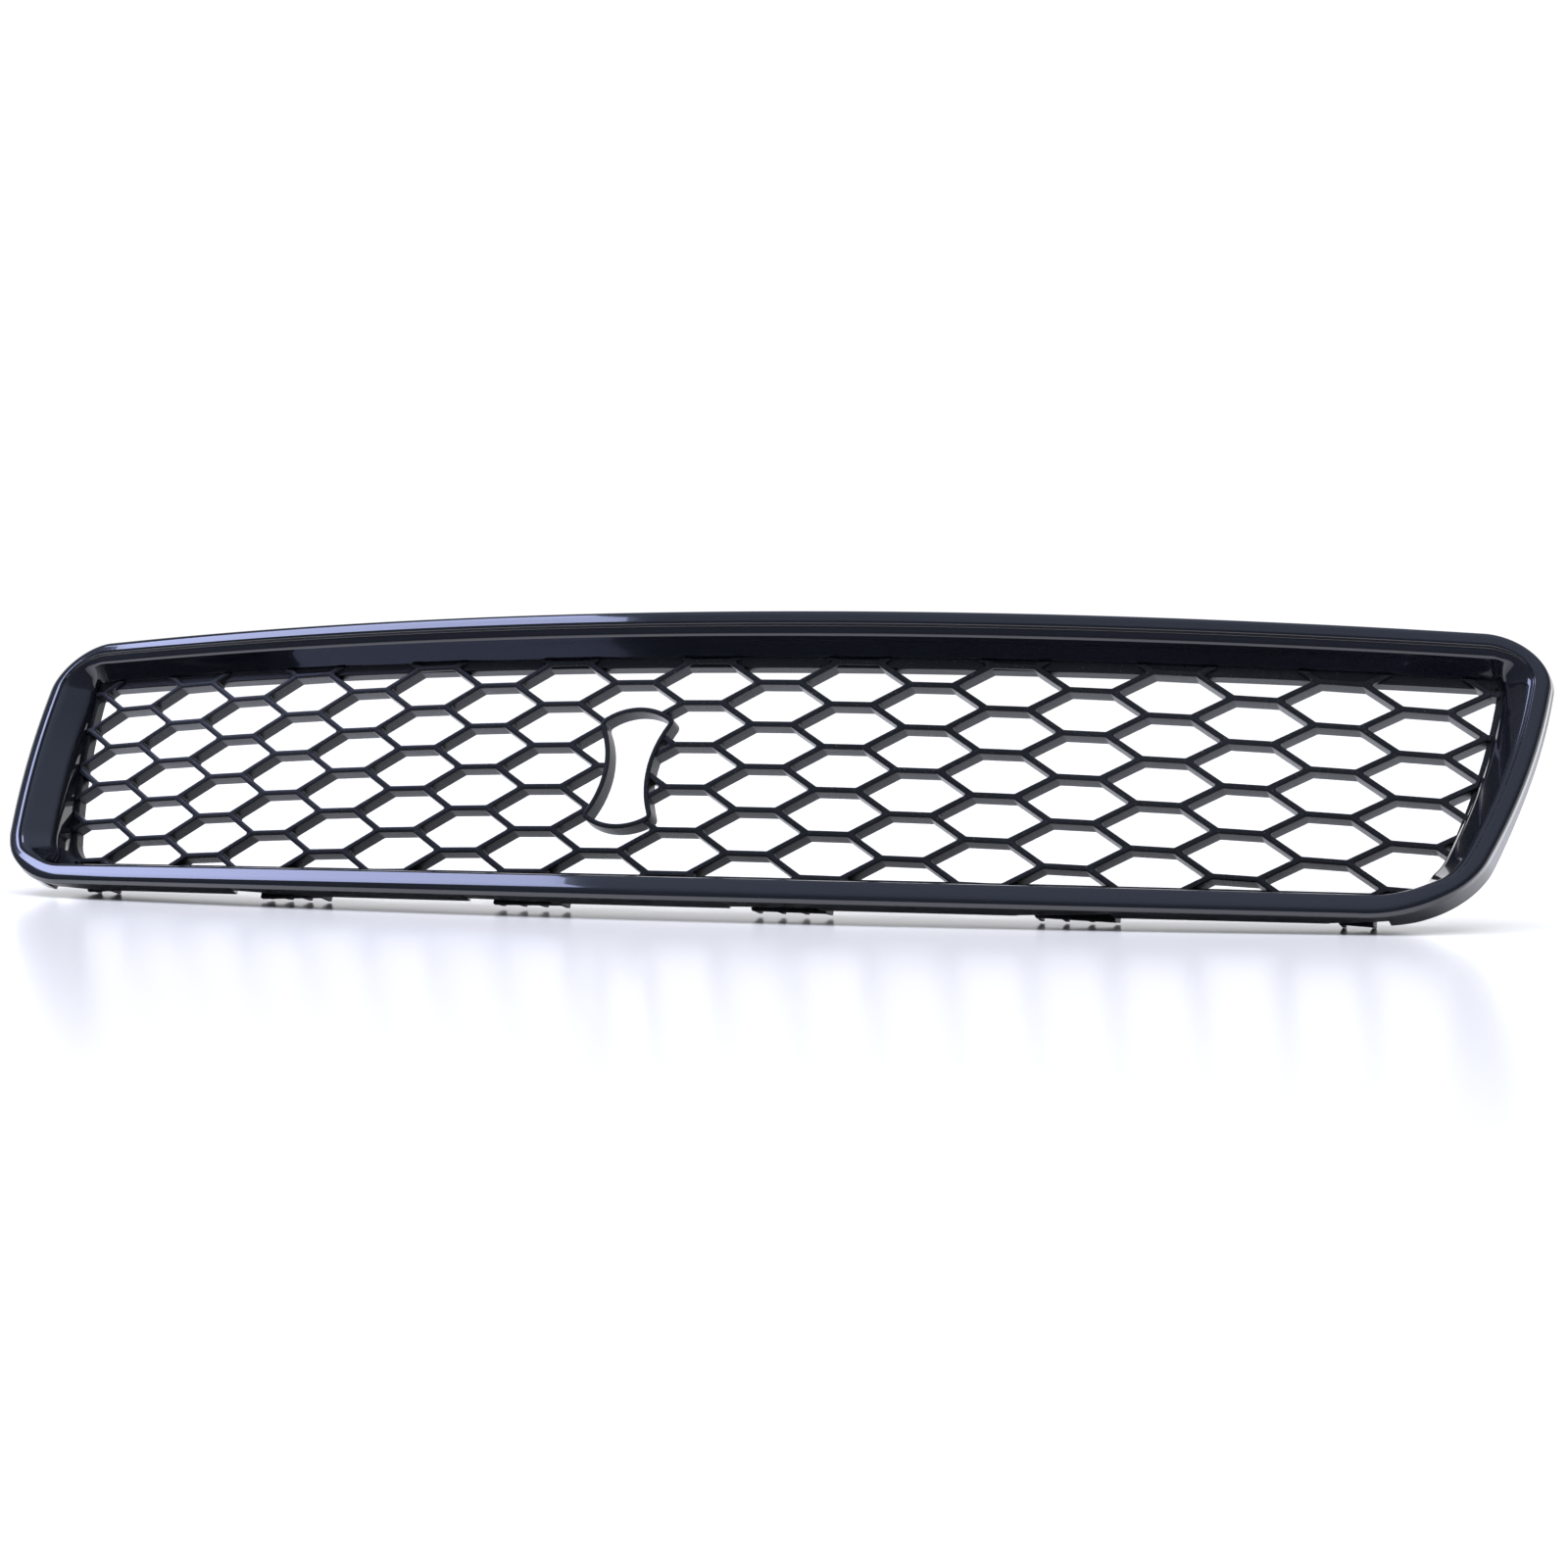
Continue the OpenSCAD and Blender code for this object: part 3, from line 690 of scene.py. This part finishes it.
def build_lug(node, x, count, pitch, lift):
    """A web with barbs under it, reaching from the floor to the wall and the flange."""
    width = (count - 1) * pitch + BARB_T
    slope = x / (PLAN_R + PLAN_TAPER * BOTTOM_H)
    web_y = mesh_y(x, -BOTTOM_H) + WEB_FRONT
    web_z = floor_z(web_y + BARB_DEEP) + lift - WEB_RISE
    wall_z = wall_under(x, WEB_FRONT + WEB_T)
    flange_z = bottom_edge(x) + FLANGE_OUT - 0.5
    flange_y = mesh_y(x, flange_z) + FLANGE_FRONT - 0.4
    bm = bmesh.new()
    y0 = web_y - slope * width / 2
    bevelled(bm, [(y0, web_z), (y0 + WEB_T, web_z), (y0 + WEB_T, wall_z),
                  (y0, wall_under(x, WEB_FRONT))], x - width / 2, x + width / 2, slope)
    for i in range(count):
        off = (i - (count - 1) / 2) * pitch
        fy = web_y + off * slope + WEB_T / 2
        by = fy + BARB_DEEP - WEB_T / 2
        barb = [(fy, web_z), (by, floor_z(by) + lift), (by, flange_z), (flange_y, flange_z),
                (flange_y, wall_z - 1), (fy, wall_z - 1)]
        bevelled(bm, barb, x + off - BARB_T / 2, x + off + BARB_T / 2)
    mesh = bpy.data.meshes.new(node)
    bm.to_mesh(mesh)
    bm.free()
    mesh.materials.append(FIXING)
    obj = bpy.data.objects.new(node + "_moulded", mesh)
    bpy.context.scene.collection.objects.link(obj)
    for v in mesh.vertices:
        v.co = seat(*v.co)
    weighted(obj, 40)
    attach(obj, "root")
    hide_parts(node)


build_surround()
build_cells()
build_border()
build_collar()
for label, side in (("left", -1), ("right", 1)):
    build_lug("snap_lug_inner_" + label, side * LUGS[0], LUG_BARBS, LUG_PITCH, LUG_INNER_LIFT)
    build_lug("snap_lug_outer_" + label, side * LUGS[1], LUG_BARBS, LUG_PITCH, LUG_OUTER_LIFT)
    build_lug("end_hook_" + label, side * HOOK, HOOK_BARBS, HOOK_PITCH, HOOK_LIFT)

# ---- Nodes that keep their own shape ----

for node, material in (("ear_outer_left", FIXING), ("ear_inner_left", FIXING),
                       ("ear_inner_right", FIXING), ("ear_outer_right", FIXING),
                       ("guide_pin_left", FIXING), ("guide_pin_right", FIXING),
                       ("ear_bushes", STEEL), ("heat_stakes", STAKE), ("top_seal", FOAM)):
    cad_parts[node].data.materials[0] = material

# ---- Floor, light and camera ----

def floor_material():
    m = bpy.data.materials.new("studio_floor")
    m.use_nodes = True
    nt = m.node_tree
    b = nt.nodes["Principled BSDF"]
    b.inputs["Base Color"].default_value = (0.9, 0.9, 0.92, 1)
    b.inputs["Specular IOR Level"].default_value = 0.5
    t = nt.nodes.new("ShaderNodeTexNoise")
    t.inputs["Scale"].default_value = 6
    r = nt.nodes.new("ShaderNodeMapRange")
    r.inputs["To Min"].default_value = 0.16
    r.inputs["To Max"].default_value = 0.24
    nt.links.new(t.outputs["Fac"], r.inputs["Value"])
    nt.links.new(r.outputs["Result"], b.inputs["Roughness"])
    return m


def build_floor():
    half = 12.0
    corners = [(-half, -half, 0), (half, -half, 0), (half, half, 0), (-half, half, 0)]
    obj = add_mesh("floor", corners, [(0, 1, 2, 3)], floor_material())


def add_softbox(name, place, target, size, power, colour):
    data = bpy.data.lights.new(name, "AREA")
    data.shape = "RECTANGLE"
    data.size, data.size_y = size
    data.energy = power
    data.color = colour
    obj = bpy.data.objects.new(name, data)
    obj.location = place
    obj.rotation_euler = (Vector(target) - Vector(place)).to_track_quat("-Z", "Y").to_euler()
    bpy.context.scene.collection.objects.link(obj)


def add_floor_light():
    """Soft light from above that whitens the floor and leaves no highlight on the gloss."""
    data = bpy.data.lights.new("floor_light", "SUN")
    data.energy = 3.5
    data.angle = math.radians(75)
    obj = bpy.data.objects.new("floor_light", data)
    obj.location = (0, 0, 3)
    obj.visible_glossy = False
    bpy.context.scene.collection.objects.link(obj)


def build_world():
    """A white backdrop behind the grille and a dim room before it, lighter overhead."""
    world = bpy.data.worlds.new("studio")
    bpy.context.scene.world = world
    world.use_nodes = True
    nt = world.node_tree
    n, l = nt.nodes, nt.links
    back = n["Background"]
    coord = n.new("ShaderNodeTexCoord")
    split = n.new("ShaderNodeSeparateXYZ")
    l.new(coord.outputs["Generated"], split.inputs[0])

    def ramp(source, stops):
        t = n.new("ShaderNodeValToRGB")
        e = t.color_ramp.elements
        while len(e) < len(stops):
            e.new(0.5)
        for slot, (position, colour) in zip(e, stops):
            slot.position, slot.color = position, (*colour, 1)
        l.new(source, t.inputs["Fac"])
        return t.outputs["Color"]

    def shifted(source):
        t = n.new("ShaderNodeMapRange")
        t.inputs["From Min"].default_value = -1
        l.new(source, t.inputs["Value"])
        return t.outputs["Result"]

    room = ramp(split.outputs["Z"], [(0.0, (0.10, 0.11, 0.15)), (0.78, (0.12, 0.14, 0.19)),
                                     (0.92, (0.30, 0.35, 0.48)), (1.0, (0.34, 0.38, 0.52))])
    rear = ramp(shifted(split.outputs["Y"]), [(0.55, (0, 0, 0)), (0.62, (1, 1, 1))])
    below = ramp(split.outputs["Z"], [(0.45, (1, 1, 1)), (0.62, (0, 0, 0))])
    both = n.new("ShaderNodeMath")
    both.operation = "MULTIPLY"
    l.new(rear, both.inputs[0])
    l.new(below, both.inputs[1])
    mix = n.new("ShaderNodeMix")
    mix.data_type = "RGBA"
    l.new(both.outputs[0], mix.inputs["Factor"])
    l.new(room, mix.inputs["A"])
    mix.inputs["B"].default_value = (1.05, 1.05, 1.08, 1)
    l.new(mix.outputs["Result"], back.inputs["Color"])


def add_camera(place, look, lens):
    camera = bpy.data.cameras.new("camera")
    camera.sensor_width = 36
    camera.lens = lens
    camera.clip_end = 60
    view = bpy.data.objects.new("camera", camera)
    view.location = place
    view.rotation_euler = Vector(look).to_track_quat("-Z", "Y").to_euler()
    bpy.context.scene.collection.objects.link(view)
    bpy.context.scene.camera = view


build_floor()
build_world()
add_softbox("softbox_left", place=(-3.45, -0.4, 4.07), target=(-3.45, -0.4, 0), size=(2.9, 1.8),
            power=95, colour=(0.56, 0.62, 1.0))
add_floor_light()
add_camera((0.51568, -1.27998, 0.10349), (-0.342453, 0.939009, -0.031443), 65.81)
bpy.context.scene.view_settings.view_transform = "Standard"
bpy.context.scene.view_settings.look = "None"
